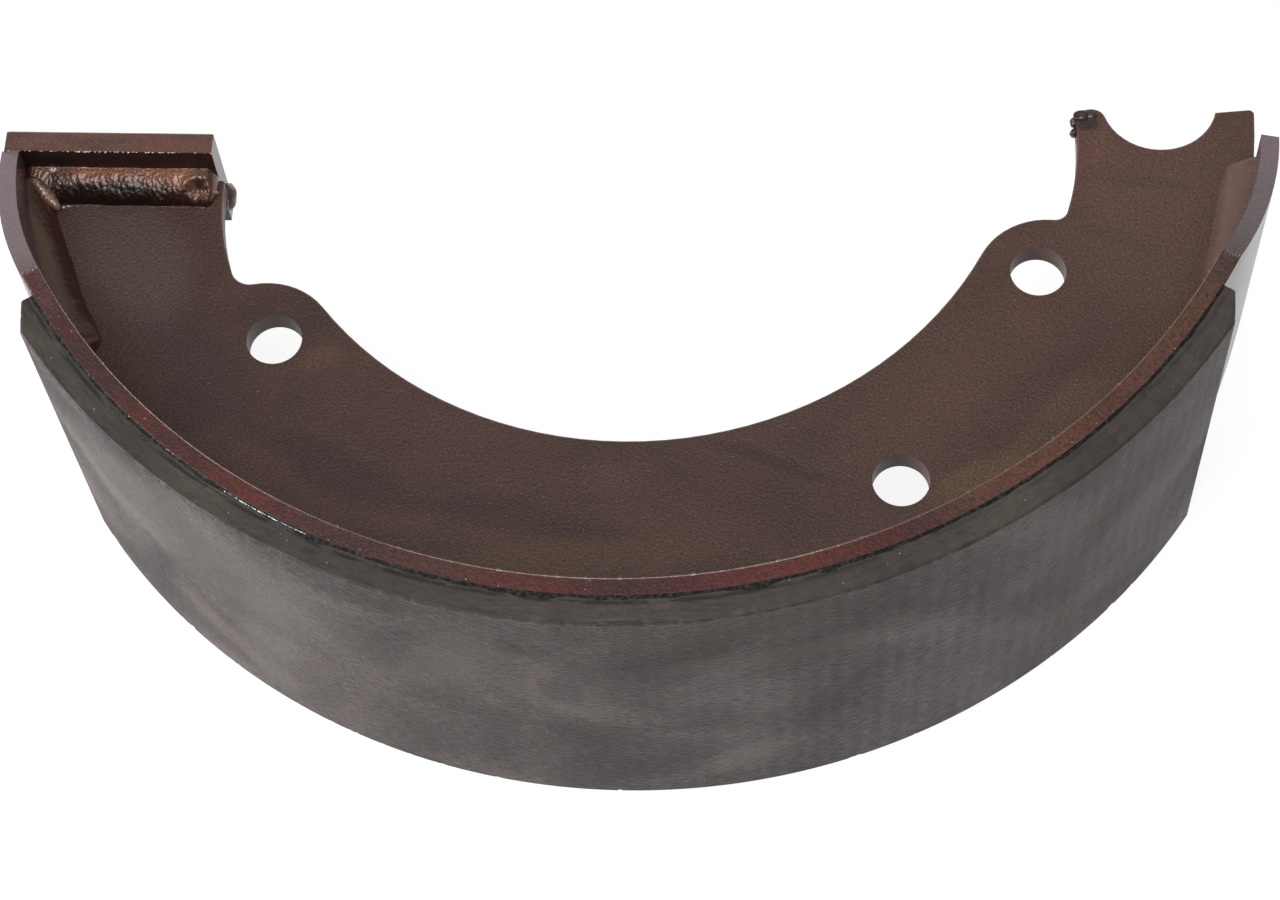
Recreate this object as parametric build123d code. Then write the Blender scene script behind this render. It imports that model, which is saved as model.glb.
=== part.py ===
from build123d import *
import os
from math import cos, degrees, hypot, radians, sin, sqrt, tan

# Drum brake shoe of welded steel with a bonded lining, lying on its side.
# Millimetres and degrees. The origin is on the drum axis, in the plane of the shoe's lower edges:
# +Z runs along the drum axis, the crown of the shoe points to -Y, the cam end lies towards -X and
# the anchor end towards +X. Angles are taken at the drum axis from +X, so they are negative here.

# ---- overall sizes -------------------------------------------------------------------------------
drum_radius = 150.0
shoe_width = 90.0

# ---- lining and its bond -------------------------------------------------------------------------
lining_thickness = 5.8
lining_cam_angle = -153.7
lining_anchor_angle = -35.9
lead_chamfer_depth = 3.4
lead_chamfer_length = 6.5
bond_thickness = 0.2
bond_inset = 1.0

# ---- rim -----------------------------------------------------------------------------------------
rim_thickness = 4.0
rim_anchor_angle = -12.6
rim_taper = 30.0
cam_taper_angle = -155.9
anchor_taper_angle = -33.0
rim_edge_break = 0.35

# ---- web -----------------------------------------------------------------------------------------
web_thickness = 5.5
web_depth = 52.6
web_edge_break = 0.4
boss_radius = 16.4
boss_cam_angle = -147.3
boss_anchor_angle = -32.7

arm_depth = 38.7
cam_arm_cut_radius = 58.8
cam_arm_cut_angle = -151.1
cam_arm_corner_radius = 4.5
anchor_arm_cut_radius = 69.4
anchor_arm_cut_angle = -22.8
anchor_arm_corner_radius = 3.0

anchor_pin_radius = 13.0
anchor_pin_depth = 21.35
anchor_pin_angle = -5.3
inner_horn_drop = 0.6
inner_horn_radius = 3.2
horn_round_share = 0.49
outer_horn_drop = 4.3
outer_horn_corner = 1.2

spring_hole_radius = 6.2
spring_holes = [(39.4, -147.1), (39.5, -31.9), (26.6, -64.0)]

# ---- cam pad -------------------------------------------------------------------------------------
pad_length = 47.2
pad_width = 28.8
pad_thickness = 5.5
pad_tilt = 6.4
pad_face_offset = 17.1
pad_setback = 0.6
pad_edge_break = 0.6

# ---- welds ---------------------------------------------------------------------------------------
weld_leg = 6.6
weld_crown = 0.9
pad_weld_margin = 3.0
cam_end_weld_stop = -156.2
centre_weld_start = -103.0
centre_weld_stop = -86.0
anchor_end_weld_start = -30.0
anchor_end_weld_stop = -12.0

# ---- worked out from the sizes above -------------------------------------------------------------
lining_inner = drum_radius - lining_thickness
rim_outer = lining_inner - bond_thickness
rim_inner = rim_outer - rim_thickness
web_inner = rim_inner - web_depth
arm_radius = rim_inner - arm_depth
web_middle = shoe_width / 2
web_bottom = web_middle - web_thickness / 2
web_top = web_middle + web_thickness / 2
pad_front_offset = pad_face_offset + pad_thickness
pad_across = Vector(cos(radians(pad_tilt)), -sin(radians(pad_tilt)))
pad_normal = Vector(sin(radians(pad_tilt)), cos(radians(pad_tilt)))
pad_outer_end = -sqrt(rim_outer**2 - pad_front_offset**2) + pad_setback
pad_inner_end = pad_outer_end + pad_length
cam_side_angle = -180.0
far = 2 * drum_radius


def polar(radius, angle):
    """Point at a radius and an angle from the drum axis."""
    return Vector(radius * cos(radians(angle)), radius * sin(radians(angle)))


def sector(inner, outer, start, stop):
    """Flat face between two radii and two angles."""
    rim_arc = CenterArc((0, 0), outer, start, stop - start)
    hub_arc = CenterArc((0, 0), inner, start, stop - start)
    ends = [Line(hub_arc @ 0, rim_arc @ 0), Line(hub_arc @ 1, rim_arc @ 1)]
    return make_face([rim_arc, hub_arc] + ends)


def disc(centre, radius):
    """Filled circle in the plane of the shoe."""
    return Pos(centre.X, centre.Y) * Circle(radius)


def corner_near(face, point):
    """The vertex of a face that lies nearest to a point."""
    return face.vertices().sort_by_distance(point)[0]


def circles_meet(centre_a, radius_a, centre_b, radius_b):
    """Both points where two circles cross, the one with the higher Y first."""
    gap = centre_b - centre_a
    along = (gap.length**2 + radius_a**2 - radius_b**2) / (2 * gap.length)
    aside = sqrt(radius_a**2 - along**2)
    unit = gap.normalized()
    foot = centre_a + unit * along
    points = [foot + Vector(-unit.Y, unit.X) * side for side in (aside, -aside)]
    return sorted(points, key=lambda point: -point.Y)


def beyond_pad_front():
    """Half space on the cam's side of the pad's front face, which trims the rim and the web."""
    block = Pos(-far / 2, far / 2, 0) * Box(far, far, far)
    return Rot(0, 0, -pad_tilt) * Pos(0, -pad_front_offset, shoe_width / 2) * block


def both_sides(piece):
    """A piece and its mirror image in the middle plane of the web."""
    return piece, mirror(piece, Plane.XY.offset(web_middle))


def make_lining():
    body = extrude(sector(lining_inner, drum_radius, lining_cam_angle, lining_anchor_angle), shoe_width)
    for angle, towards in ((lining_cam_angle, 1), (lining_anchor_angle, -1)):
        start = polar(drum_radius - lead_chamfer_depth, angle)
        stop = polar(drum_radius, angle + towards * degrees(lead_chamfer_length / drum_radius))
        run = (stop - start).normalized() * lead_chamfer_length
        lift = polar(lead_chamfer_length, angle)
        waste = Polyline(start - run, stop + run, stop + run + lift, start - run + lift, close=True)
        body -= extrude(make_face(waste), shoe_width)
    return body


def make_bond():
    inset = degrees(bond_inset / rim_outer)
    outline = sector(rim_outer, lining_inner, lining_cam_angle + inset, lining_anchor_angle - inset)
    return Pos(0, 0, bond_inset) * extrude(outline, shoe_width - 2 * bond_inset)


def taper_cutter(start_angle, towards):
    """Block that takes the rim's upper corner off, square to the strip at the middle of the taper."""
    drop = (shoe_width - pad_width) / 2
    length = drop / tan(radians(rim_taper))
    middle_angle = start_angle + towards * degrees(length / 2 / rim_outer)
    middle = polar(rim_outer, middle_angle)
    block = Rot(0, -rim_taper, 0) * Pos(0, 0, far / 2) * Box(far, far, far)
    if towards > 0:
        block = Rot(0, 0, 180) * block
    return Pos(middle.X, middle.Y, shoe_width - drop / 2) * Rot(0, 0, middle_angle + 90) * block


def make_rim():
    strip = extrude(sector(rim_inner, rim_outer, cam_side_angle, rim_anchor_angle), shoe_width)
    strip = chamfer(strip.edges().filter_by(GeomType.CIRCLE), rim_edge_break) - beyond_pad_front()
    for start_angle, towards in ((cam_taper_angle, -1), (anchor_taper_angle, 1)):
        for cutter in both_sides(taper_cutter(start_angle, towards)):
            strip -= cutter
    return strip


def arm_blank(start, stop):
    """Slice of the web's blank, reaching nearer the drum axis than either arm does."""
    return sector(web_inner / 2, rim_inner, start, stop)


def make_anchor_arm():
    """Fork of the web that sits on the anchor pin: a half-round notch between two horns."""
    notch_centre = polar(rim_inner - anchor_pin_depth, anchor_pin_angle)
    cut_centre = polar(arm_radius - anchor_arm_cut_radius, anchor_arm_cut_angle)
    inner_top = notch_centre.Y - inner_horn_drop
    outer_top = notch_centre.Y - outer_horn_drop
    half = far / 2

    arm = arm_blank(boss_anchor_angle, -anchor_pin_angle) - disc(cut_centre, anchor_arm_cut_radius)
    arm -= disc(notch_centre, anchor_pin_radius)
    arm -= Pos(notch_centre.X - half, inner_top + half) * Rectangle(far, far)
    arm -= Pos(notch_centre.X + half, outer_top + half) * Rectangle(far, far)

    arm_side = cut_centre.X + sqrt(anchor_arm_cut_radius**2 - (inner_top - cut_centre.Y) ** 2)
    notch_side = notch_centre.X - sqrt(anchor_pin_radius**2 - inner_horn_drop**2)
    horn_corners = [corner_near(arm, (x, inner_top)) for x in (arm_side, notch_side)]
    arm = fillet(horn_corners, min(inner_horn_radius, horn_round_share * (notch_side - arm_side)))
    rim_side = sqrt(rim_inner**2 - outer_top**2)
    return fillet(corner_near(arm, (rim_side, outer_top)), outer_horn_corner)


def is_free_web_edge(edge):
    """True for the deburred edges of the web: all but its holes and those that meet the rim or pad."""
    middle = edge @ 0.5
    along_axis = abs((edge @ 0).Z - (edge @ 1).Z) > web_thickness / 2
    at_rim = hypot(middle.X, middle.Y) > rim_inner - web_edge_break
    at_pad = middle.X < 0 and middle.dot(pad_normal) > -pad_front_offset - web_edge_break
    return not (along_axis or at_rim or at_pad or edge.is_closed)


def make_web():
    boss_depth = web_inner + boss_radius
    bosses = [polar(boss_depth, boss_cam_angle), polar(boss_depth, boss_anchor_angle)]
    cam_cut_centre = polar(arm_radius - cam_arm_cut_radius, cam_arm_cut_angle)
    cam_arm = arm_blank(cam_side_angle, boss_cam_angle) - disc(cam_cut_centre, cam_arm_cut_radius)
    crescent = sector(web_inner, rim_inner, boss_cam_angle, boss_anchor_angle)
    outline = crescent + cam_arm + make_anchor_arm()
    for boss in bosses:
        outline += disc(boss, boss_radius)
    steps = [
        (cam_arm_cut_radius, cam_arm_cut_angle, cam_arm_corner_radius),
        (anchor_arm_cut_radius, anchor_arm_cut_angle, anchor_arm_corner_radius),
    ]
    for boss, (cut_radius, cut_angle, corner_radius) in zip(bosses, steps):
        step = circles_meet(boss, boss_radius, polar(arm_radius - cut_radius, cut_angle), cut_radius)[0]
        outline = fillet(corner_near(outline, step), corner_radius)
    for depth, angle in spring_holes:
        outline -= disc(polar(rim_inner - depth, angle), spring_hole_radius)

    plate = Pos(0, 0, web_bottom) * extrude(outline, web_thickness) - beyond_pad_front()
    return chamfer(plate.edges().filter_by(is_free_web_edge), web_edge_break)


def make_pad():
    depth = pad_front_offset - pad_thickness / 2
    centre = pad_across * ((pad_outer_end + pad_inner_end) / 2) - pad_normal * depth
    pad = Box(pad_length, pad_thickness, pad_width)
    pad = chamfer(pad.edges().group_by(Axis.Y)[-1], pad_edge_break)
    return Pos(centre.X, centre.Y, web_middle) * Rot(0, 0, -pad_tilt) * pad


def bead_section():
    """Radius of a weld's crowned face, and how far its centre lies behind the two plates it joins."""
    half_face = weld_leg / sqrt(2)
    radius = (half_face**2 + weld_crown**2) / (2 * weld_crown)
    behind = (radius - weld_crown - half_face) / sqrt(2)
    return radius, behind


def above_web(radius):
    """Round space above the web, out to a radius from the drum axis."""
    return Pos(0, 0, web_top) * Cylinder(radius, far, align=(Align.CENTER, Align.CENTER, Align.MIN))


def make_rim_weld(start, stop):
    """Fillet weld on top of the web along the rim, with rounded ends at two angles."""
    radius, behind = bead_section()
    path_radius = rim_inner + behind
    end_length = sqrt(radius**2 - 2 * behind**2)
    end_angle = degrees(end_length / rim_inner)
    run = Torus(path_radius, radius, major_angle=stop - start - 2 * end_angle, align=None)
    bead = Rot(0, 0, start + end_angle) * run
    for angle in (start + end_angle, stop - end_angle):
        centre = polar(path_radius, angle)
        bead += Pos(centre.X, centre.Y) * Sphere(radius)
    return Pos(0, 0, web_top - behind) * bead & above_web(rim_inner)


def make_pad_weld():
    """Fillet weld on top of the web along the front of the cam pad, from the rim to the pad's end."""
    radius, behind = bead_section()
    end_length = sqrt(radius**2 - 2 * behind**2)
    stop = pad_inner_end - pad_weld_margin - end_length
    length = stop - pad_outer_end
    run = Pos((stop + pad_outer_end) / 2, 0) * Rot(0, 90, 0) * Cylinder(radius, length)
    bead = run + Pos(stop, 0) * Sphere(radius)
    bead = Rot(0, 0, -pad_tilt) * Pos(0, behind - pad_front_offset, web_top - behind) * bead
    return bead & above_web(rim_inner) - beyond_pad_front()


pad_weld_upper, pad_weld_lower = both_sides(make_pad_weld())
cam_end_weld = make_rim_weld(cam_side_angle, cam_end_weld_stop) - beyond_pad_front() - pad_weld_upper
cam_end_weld_upper, cam_end_weld_lower = both_sides(cam_end_weld)
centre_weld_upper, centre_weld_lower = both_sides(make_rim_weld(centre_weld_start, centre_weld_stop))
anchor_end_weld = make_rim_weld(anchor_end_weld_start, anchor_end_weld_stop)
anchor_end_weld_upper, anchor_end_weld_lower = both_sides(anchor_end_weld)

parts = {
    "web_plate": make_web(),
    "rim_table": make_rim(),
    "friction_lining": make_lining(),
    "adhesive_film": make_bond(),
    "cam_pad": make_pad(),
    "cam_pad_weld_upper": pad_weld_upper,
    "cam_pad_weld_lower": pad_weld_lower,
    "cam_end_weld_upper": cam_end_weld_upper,
    "cam_end_weld_lower": cam_end_weld_lower,
    "centre_weld_upper": centre_weld_upper,
    "centre_weld_lower": centre_weld_lower,
    "anchor_end_weld_upper": anchor_end_weld_upper,
    "anchor_end_weld_lower": anchor_end_weld_lower,
}

os.makedirs("parts", exist_ok=True)
for name, part in parts.items():
    export_step(part, f"parts/{name}.step")
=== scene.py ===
import random
from math import ceil, cos, degrees, exp, pi, radians, sin, sqrt

import bmesh
import bpy
from mathutils import Matrix, Vector, noise


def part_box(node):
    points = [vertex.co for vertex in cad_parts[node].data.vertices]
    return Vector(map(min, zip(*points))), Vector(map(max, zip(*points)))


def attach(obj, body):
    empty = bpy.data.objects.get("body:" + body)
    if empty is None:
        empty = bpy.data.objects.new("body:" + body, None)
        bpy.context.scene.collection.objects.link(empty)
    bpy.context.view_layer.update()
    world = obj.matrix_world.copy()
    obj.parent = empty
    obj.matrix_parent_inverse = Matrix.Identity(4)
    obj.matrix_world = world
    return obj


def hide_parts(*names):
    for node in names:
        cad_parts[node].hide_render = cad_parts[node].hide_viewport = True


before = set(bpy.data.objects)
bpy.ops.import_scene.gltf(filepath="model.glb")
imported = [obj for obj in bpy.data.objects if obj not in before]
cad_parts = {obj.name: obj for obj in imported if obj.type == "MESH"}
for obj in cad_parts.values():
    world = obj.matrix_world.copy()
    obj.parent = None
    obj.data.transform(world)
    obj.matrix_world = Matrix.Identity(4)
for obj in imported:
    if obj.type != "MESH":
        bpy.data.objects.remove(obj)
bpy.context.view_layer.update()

MM = 0.001


# ---- Web plate ------------------------------------------------------------------------------------
# The web is a crescent punched from hot-rolled steel plate, shot blasted and dipped in a thin brown
# lacquer once the shoe is welded. The CAD plate has the right shape, so it only needs the finish.
LACQUER_IOR = 1.45
# The blast marks are about 0.3 mm across, and are drawn coarser so that they still show.
BLAST_GRAIN = 0.62
# In millimetres: the lacquer's clouds and its streaks, with the streaks' turn in degrees, and how far
# and how often the edge of a run wavers.
CLOUD = 30.0
STREAK = 14.0
STREAK_TURN = 28
WAVER = 6.0
WAVER_PITCH = 16.0
# Pale points, of bare steel and also painted glints of the grit: the pitch of the cells that may hold
# one, the share of cells that do, a point's size as a share of the pitch, and its colour.
GLINT_PITCH = 0.9
GLINT_SHARE = 0.05
GLINT_SIZE = 0.22
BARE_AND_GLINT_POINT = "#a08f84"
# The setting that makes a Mix node mix colours, by its inputs 0, 6 and 7.
COLOURS = {"data_type": "RGBA"}
# Cosines of a face's lean: it takes the finish of a flat face above the first, and that of a cut one
# below the second.
FLAT_COSINE = 0.985
CUT_COSINE = 0.94
# Share of the grit that is left on cut faces.
CUT_GRIT = 0.35
# Where the lacquer ran and pooled: centre, turn, half length and half width, strength and colour.
WEB_RUNS = [
    ((-100, -62), -52, 24, 9, 0.8, "#38231f"),
    ((-72, -88), -33, 24, 6.5, 0.75, "#2f1d19"),
    ((-34, -103), -16, 30, 4.5, 0.6, "#301e19"),
    ((-104, -70), 20, 9, 8, 0.5, "#2e1e1e"),
    ((-22, -114), -2, 40, 5, 0.6, "#48331f"),
    ((-74, -60), 10, 6, 4, 0.6, "#5b3d2a"),
    ((-58, -76), -38, 34, 10, 0.45, "#4c2e26"),
    ((14, -100), -25, 20, 9, 0.5, "#331f1b"),
    ((23, -95.5), -26, 20, 2.2, 0.6, "#281a16"),
    ((62, -78), 38, 38, 13, 0.5, "#4e3329"),
    ((66, -103), 25, 12, 5, 0.6, "#54402a"),
    ((84, -92), 45, 34, 5, 0.35, "#57402c"),
    ((104, -62), 62, 26, 8, 0.5, "#342218"),
    ((113, -33), -14, 12, 2.2, 0.6, "#2e1d18"),
    ((104, -46), -25, 11, 2.4, 0.5, "#301f18"),
    ((102, -20), 80, 9, 5, 0.5, "#58382b"),
    ((-116, -30), 110, 24, 15, 0.8, "#4e3c38"),
    ((-127, -44), 60, 9, 4, 0.5, "#433019"),
    ((-113, -17), 0, 14, 3, 0.5, "#472d1a"),
    ((112, -40), 70, 38, 22, 0.35, "#5a4036"),
    ((101, -15.4), 0, 3.6, 2.2, 0.85, "#221819"),
]


def linear(code):
    """Linear colour of an sRGB hex code."""
    shares = [int(code[i : i + 2], 16) / 255 for i in (1, 3, 5)]
    return [s / 12.92 if s <= 0.04045 else ((s + 0.055) / 1.055) ** 2.4 for s in shares] + [1.0]


def add(tree, kind, settings=None, inputs=None, stops=()):
    """A shader node of a kind with its settings, inputs set from values or outputs, and the stops of
    a colour ramp."""
    made = tree.nodes.new("ShaderNode" + kind)
    for key, value in (settings or {}).items():
        setattr(made, key, value)
    for key, value in (inputs or {}).items():
        if isinstance(value, bpy.types.NodeSocket):
            tree.links.new(value, made.inputs[key])
        else:
            made.inputs[key].default_value = value
    for order, (position, code) in enumerate(stops):
        elements = made.color_ramp.elements
        element = elements[order] if order < len(elements) else elements.new(position)
        element.position = position
        element.color = linear(code)
    return made


def new_material(name):
    """A material, with its node tree, its shader and its texture coordinates."""
    material = bpy.data.materials.new(name)
    material.use_nodes = True
    tree = material.node_tree
    return material, tree, tree.nodes["Principled BSDF"], add(tree, "TexCoord").outputs


def spots(tree, place, pitch, share, size):
    """1 on a few round spots, picked at random from cells of one pitch, and 0 elsewhere."""
    cells = add(tree, "TexVoronoi", inputs={"Vector": place, "Scale": 1 / (pitch * MM)})
    draw = add(tree, "SeparateColor", inputs={"Color": cells.outputs["Color"]})
    picked = add(tree, "Math", {"operation": "LESS_THAN"}, {0: draw.outputs[0], 1: share})
    inside = add(tree, "MapRange", inputs={0: cells.outputs["Distance"], 1: size, 2: size * 0.5})
    both = {0: picked.outputs[0], 1: inside.outputs[0]}
    return add(tree, "Math", {"operation": "MULTIPLY"}, both).outputs[0]


def patches(tree, place, colour, marks):
    """Paint soft-edged, wavering patches over a colour."""
    waver = add(tree, "TexNoise", inputs={"Vector": place, "Scale": 1 / (WAVER_PITCH * MM), "Detail": 2.0})
    shift = add(
        tree,
        "VectorMath",
        {"operation": "MULTIPLY_ADD"},
        {0: waver.outputs["Color"], 1: (WAVER * MM,) * 3, 2: (-WAVER * MM / 2,) * 3},
    )
    moved = add(tree, "VectorMath", {"operation": "ADD"}, {0: place, 1: shift.outputs[0]})
    for (x, y), turn, half_length, half_width, strength, code in marks:
        local = add(
            tree,
            "Mapping",
            {"vector_type": "TEXTURE"},
            {
                "Vector": moved.outputs[0],
                "Location": (x * MM, y * MM, 0),
                "Rotation": (0, 0, radians(turn)),
                "Scale": (half_length * MM, half_width * MM, 1),
            },
        )
        reach = add(tree, "VectorMath", {"operation": "LENGTH"}, {0: local.outputs[0]})
        cover = add(
            tree,
            "MapRange",
            {"interpolation_type": "SMOOTHSTEP"},
            {0: reach.outputs["Value"], 1: 1.15, 2: 0.45, 3: 0.0, 4: strength},
        )
        mixed = add(tree, "Mix", COLOURS, {0: cover.outputs[0], 6: colour, 7: linear(code)})
        colour = mixed.outputs[2]
    return colour


def brown_lacquer(
    name,
    shades,
    cut,
    runs=(),
    grain=BLAST_GRAIN,
    contrast=0.5,
    relief=0.3,
    roughness=0.45,
    cut_roughness=0.24,
    glint=0.3,
    metallic=0.0,
):
    """Thin brown lacquer over blasted steel: cloudy where it ran, with a fine grit that glints.
    cut is its colour on cut faces, which are smooth and take less of it, contrast and relief are those
    of the grit, and glint is how bright the bare points are, pale spots that are also painted glints."""
    material, tree, shader, places = new_material(name)
    place = places["Object"]
    clouds = add(
        tree,
        "TexNoise",
        inputs={"Vector": place, "Scale": 1 / (CLOUD * MM), "Detail": 4.0, "Roughness": 0.55},
    )
    drift = add(
        tree,
        "Mapping",
        inputs={"Vector": place, "Rotation": (0, 0, radians(STREAK_TURN)), "Scale": (0.3, 1.5, 1.0)},
    )
    streaks = add(
        tree,
        "TexNoise",
        inputs={"Vector": drift.outputs[0], "Scale": 1 / (STREAK * MM), "Detail": 3.0, "Distortion": 0.7},
    )
    half = add(tree, "Math", {"operation": "MULTIPLY_ADD"}, {0: streaks.outputs[0], 1: 0.5, 2: -0.25})
    mottle = add(tree, "Math", {"operation": "ADD"}, {0: clouds.outputs[0], 1: half.outputs[0]})
    body = add(tree, "ValToRGB", inputs={"Fac": mottle.outputs[0]}, stops=shades)
    facing = add(tree, "SeparateXYZ", inputs={0: places["Normal"]})
    upright = add(tree, "Math", {"operation": "ABSOLUTE"}, {0: facing.outputs["Z"]})
    edge = add(tree, "MapRange", inputs={0: upright.outputs[0], 1: FLAT_COSINE, 2: CUT_COSINE})
    faces = add(tree, "Mix", COLOURS, {0: edge.outputs[0], 6: body.outputs["Color"], 7: linear(cut)})
    painted = patches(tree, place, faces.outputs[2], runs)
    grit = add(
        tree,
        "TexNoise",
        inputs={"Vector": place, "Scale": 1 / (grain * MM), "Detail": 2.0, "Roughness": 0.7},
    )
    tone = add(
        tree, "MapRange", inputs={0: grit.outputs[0], 1: 0.28, 2: 0.72, 3: 1 - contrast, 4: 1 + contrast}
    )
    grit_left = add(tree, "MapRange", inputs={0: edge.outputs[0], 3: 1.0, 4: CUT_GRIT})
    toned = add(
        tree,
        "Mix",
        {**COLOURS, "blend_type": "MULTIPLY"},
        {0: grit_left.outputs[0], 6: painted, 7: tone.outputs[0]},
    )
    # Painted glints: pale points mixed into the colour, bare steel that also stands for the grit's sparkle.
    points = spots(tree, place, GLINT_PITCH, GLINT_SHARE, GLINT_SIZE)
    bare = add(tree, "Math", {"operation": "MULTIPLY"}, {0: points, 1: glint})
    final = add(tree, "Mix", COLOURS, {0: bare.outputs[0], 6: toned.outputs[2], 7: linear(BARE_AND_GLINT_POINT)})
    dull = add(
        tree, "MapRange", inputs={0: edge.outputs[0], 3: roughness, 4: min(roughness, cut_roughness)}
    )
    patchy = add(tree, "Math", {"operation": "MULTIPLY_ADD"}, {0: clouds.outputs[0], 1: 0.16, 2: -0.08})
    gloss = add(tree, "Math", {"operation": "ADD"}, {0: dull.outputs[0], 1: patchy.outputs[0]})
    depth = add(tree, "Math", {"operation": "MULTIPLY"}, {0: grit_left.outputs[0], 1: relief})
    bumps = add(
        tree,
        "Bump",
        inputs={"Strength": depth.outputs[0], "Distance": grain * MM, "Height": grit.outputs[0]},
    )
    tree.links.new(final.outputs[2], shader.inputs["Base Color"])
    tree.links.new(gloss.outputs[0], shader.inputs["Roughness"])
    tree.links.new(bumps.outputs[0], shader.inputs["Normal"])
    shader.inputs["IOR"].default_value = LACQUER_IOR
    shader.inputs["Metallic"].default_value = metallic
    return material


def finish_node(name, material):
    """Give a CAD node its finish."""
    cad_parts[name].material_slots[0].material = material


# To the eye it is a semi-gloss dark brown, with soft clouds and a fine grit that sparkles a little.
finish_node(
    "web_plate",
    brown_lacquer(
        "brown lacquer over blasted plate",
        [(0.3, "#38241d"), (0.45, "#3f2820"), (0.58, "#452c24"), (0.75, "#483123")],
        cut="#482c21",
        runs=WEB_RUNS,
        relief=0.5,
        cut_roughness=0.55,
    ),
)


# ---- Rim table ------------------------------------------------------------------------------------
# The rim is a 4 mm strip rolled to the drum's curve, its ends flame cut to a taper. Its sheared long
# edges are rough and took the lacquer redder than the plate did.
RIM_THICKNESS = 4.0
LINING_THICKNESS = 5.8
BOND = 0.2
CAM_TAPER_START = -155.9
ANCHOR_TAPER_START = -33.0

lining_low, lining_high = (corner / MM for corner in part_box("friction_lining"))
drum_radius = float(round(-lining_low.y))
shoe_width = round(lining_high.z, 3)
lining_inner = drum_radius - LINING_THICKNESS
rim_outer = lining_inner - BOND
rim_inner = rim_outer - RIM_THICKNESS

# To the eye the sheared edges are redder, rougher and duller than the plate, and the flame-cut tapers
# are smooth and glossier, their lilac grey partly their own colour and partly a painted sheen.
finish_node(
    "rim_table",
    brown_lacquer(
        "brown lacquer over rolled strip",
        [(0.3, "#2c0d07"), (0.45, "#3a1008"), (0.6, "#46160d"), (0.75, "#3a1b0f")],
        # Lighter than the cut faces' own colour: a painted sheen on the tapers.
        cut="#5c464c",
        runs=[
            ((-60, -130), -25, 26, 12, 0.5, "#2c1d17"),
            ((70, -122), 30, 24, 10, 0.6, "#4a2f20"),
            ((112, -91), 51, 40, 16, 0.85, "#43291c"),
            ((-122, -72), -59, 26, 12, 0.6, "#2b130f"),
            ((121, -76), 60, 12, 5, 0.6, "#2c1f1a"),
            ((-128, -62), 60, 14, 8, 0.5, "#47272a"),
            ((129, -60), 65, 18, 9, 0.6, "#4b3a3e"),
        ],
        grain=0.7,
        contrast=0.6,
        relief=0.4,
        roughness=0.54,
        glint=0.6,
    ),
)


# ---- Sheared burr along the rim's arris -----------------------------------------------------------
# Shearing the strip left a broken burr on the arris that faces the web. The lacquer is thin on it,
# so it shows as a pale line, its bright points bare steel and painted glints.
BURR_STEP = 0.25
BURR_SIDES = 6
# How far inside the metal a burr's middle line lies from its arris.
BURR_SET = 0.1


def polar(radius, angle, height=0.0):
    """Point at a radius and an angle in degrees from the drum axis, at a height."""
    return Vector((radius * cos(radians(angle)), radius * sin(radians(angle)), height))


def sample(seed, *place):
    """Smooth noise from -1 to 1 at a place in millimetres, shifted so that each seed differs."""
    x, y, z = (list(place) + [0.0, 0.0])[:3]
    return noise.noise(Vector((x + 17.3 * seed, y - 9.1 * seed, z + 4.7 * seed)))


def grid_piece(name, rows, material, sharp, replaces=()):
    """A closed piece from rings of points in millimetres, joined in order and capped at both ends.
    It is smooth where its faces meet at less than sharp degrees."""
    across = len(rows[0])
    points = [point * MM for row in rows for point in row]
    faces = [tuple(reversed(range(across))), tuple(range(len(points) - across, len(points)))]
    for i in range(len(rows) - 1):
        for j in range(across):
            a, b = i * across + j, i * across + (j + 1) % across
            faces.append((a, b, b + across, a + across))
    mesh = bpy.data.meshes.new(name)
    mesh.from_pydata(points, [], faces)
    shape = bmesh.new()
    shape.from_mesh(mesh)
    bmesh.ops.recalc_face_normals(shape, faces=shape.faces)
    shape.to_mesh(mesh)
    shape.free()
    mesh.polygons.foreach_set("use_smooth", [True] * len(mesh.polygons))
    mesh.set_sharp_from_angle(angle=radians(sharp))
    mesh.materials.append(material)
    piece = bpy.data.objects.new(name, mesh)
    bpy.context.scene.collection.objects.link(piece)
    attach(piece, "root")
    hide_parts(*replaces)
    return piece


def burr(
    name, foot, length, seed, material, thin=0.07, thick=0.22, rare=0.3, pitch=1.1, spread=0.0
):
    """A thin bead of metal along an arris, with lumps: a higher rare gives fewer of them, and pitch is
    how far apart they are. It is thicker by spread at its far end. foot gives the arris at a length
    along it, and the ways out and up from it."""
    rows = []
    for i in range(ceil(length / BURR_STEP) + 1):
        along = min(i * BURR_STEP, length)
        arris, out, up = foot(along)
        stretch = max(0.3, 0.7 + sample(seed + 1, along * 0.09))
        lump = max(0.0, sample(seed, along / pitch) - rare) * 3 * stretch
        size = thin * (1 + 0.4 * sample(seed + 2, along * 0.4)) + thick * min(1.0, lump)
        size *= 1 + spread * along / length
        ring = []
        for k in range(BURR_SIDES):
            turn = 2 * pi * k / BURR_SIDES
            ring.append(arris + out * size * (0.25 + cos(turn)) + up * size * 0.8 * (sin(turn) - 1))
        rows.append(ring)
    return grid_piece(name, rows, material, sharp=60)


# To the eye it is a pale, broken line, greyer than the lacquer round it, with bright points that are
# bare steel and painted glints.
burr_metal = brown_lacquer(
    "thin lacquer over sheared burr",
    [(0.3, "#4c3a35"), (0.5, "#6f5d57"), (0.7, "#a99992")],
    cut="#6f5d57",
    runs=[((90, -106), 48, 72, 34, 0.85, "#6f5844")],
    grain=0.5,
    roughness=0.3,
    glint=1.0,
    metallic=0.6,
)


def rim_arris(height, up):
    """The rim's arris at one height, with up as 1 on the upper edge and -1 on the lower one."""

    def foot(along):
        angle = CAM_TAPER_START + degrees(along / rim_inner)
        return polar(rim_inner + BURR_SET, angle, height), -polar(1, angle), Vector((0, 0, up))

    return foot


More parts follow.
